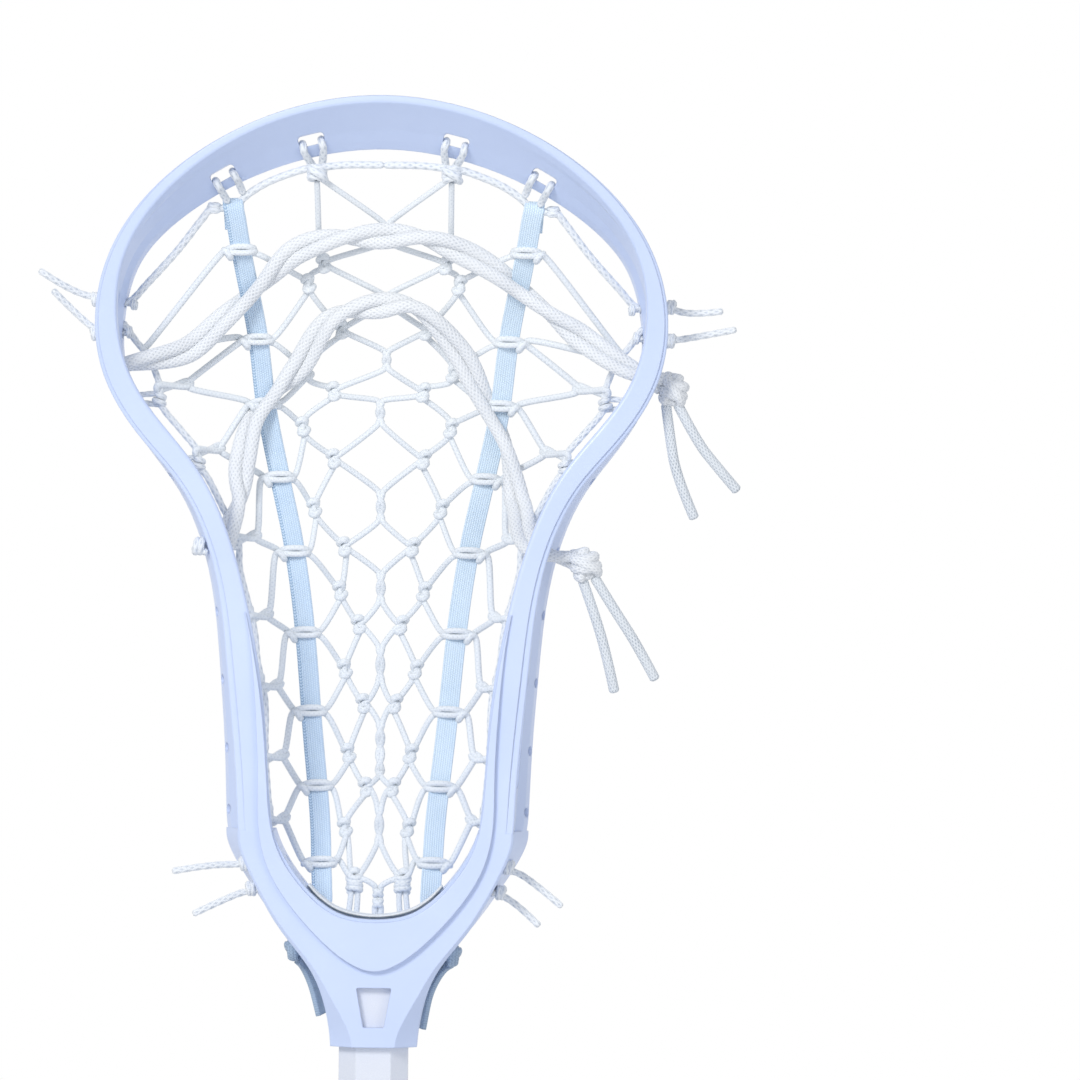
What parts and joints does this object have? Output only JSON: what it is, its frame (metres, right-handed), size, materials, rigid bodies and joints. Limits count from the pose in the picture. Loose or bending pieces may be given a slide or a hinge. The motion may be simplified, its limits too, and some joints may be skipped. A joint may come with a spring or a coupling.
{
  "type": "lacrosse stick",
  "caption": "Field lacrosse stick with a moulded strung head, traditional pocket of runners and crosslacing, shooting strings, octagonal shaft and a push-on end cap",
  "frame": {"origin": "centre of the end cap's flat bottom face, on the shaft's axis", "axes": "+Z along the shaft towards the scoop, -Y the open front of the head, +X to the right seen from the front"},
  "size_m": [0.2276, 0.0697, 1.0861],
  "materials": {
    "head_plastic": "smooth moulded plastic, pale cool white",
    "shaft_metal": "pearl pale blue paint",
    "cap_rubber": "matt black rubber",
    "screw_steel": "bright steel",
    "foam": "closed-cell foam",
    "runner_webbing": "flat woven nylon, light blue",
    "lacing_cord": "tight braided nylon cord, off-white",
    "shooting_cord": "soft braided hockey-style lace, white"
  },
  "bodies": {
    "stick": {"head_frame": "head_plastic", "shaft_tube": "shaft_metal", "head_screw": "screw_steel", "ball_stop": "foam", "runner_left": "runner_webbing", "runner_right": "runner_webbing", "crosslace_left": "lacing_cord", "crosslace_centre": "lacing_cord", "crosslace_right": "lacing_cord", "sidewall_string_left": "lacing_cord", "sidewall_string_right": "lacing_cord", "top_string": "lacing_cord", "bottom_string": "lacing_cord", "shooting_string_upper": "shooting_cord", "shooting_string_lower": "shooting_cord", "shooter_knot_upper": "shooting_cord", "shooter_knot_lower": "shooting_cord", "runner_knot_left": "runner_webbing", "runner_knot_right": "runner_webbing", "shooter_tail_upper_1": "shooting_cord", "shooter_tail_upper_2": "shooting_cord", "shooter_tail_lower_1": "shooting_cord", "shooter_tail_lower_2": "shooting_cord", "tail_top_left_1": "lacing_cord", "tail_top_left_2": "lacing_cord", "tail_top_right_1": "lacing_cord", "tail_top_right_2": "lacing_cord", "tail_bottom_left_1": "lacing_cord", "tail_bottom_left_2": "lacing_cord", "tail_bottom_right_1": "lacing_cord", "tail_bottom_right_2": "lacing_cord", "runner_tail_left": "runner_webbing", "runner_tail_right": "runner_webbing"},
    "end_cap": {"end_cap": "cap_rubber"}
  },
  "joints": [
    {"name": "end_cap_pull", "type": "slide", "parent": "stick", "child": "end_cap", "axis": [0, 0, -1], "range_m": [0, 0.035]}
  ]
}
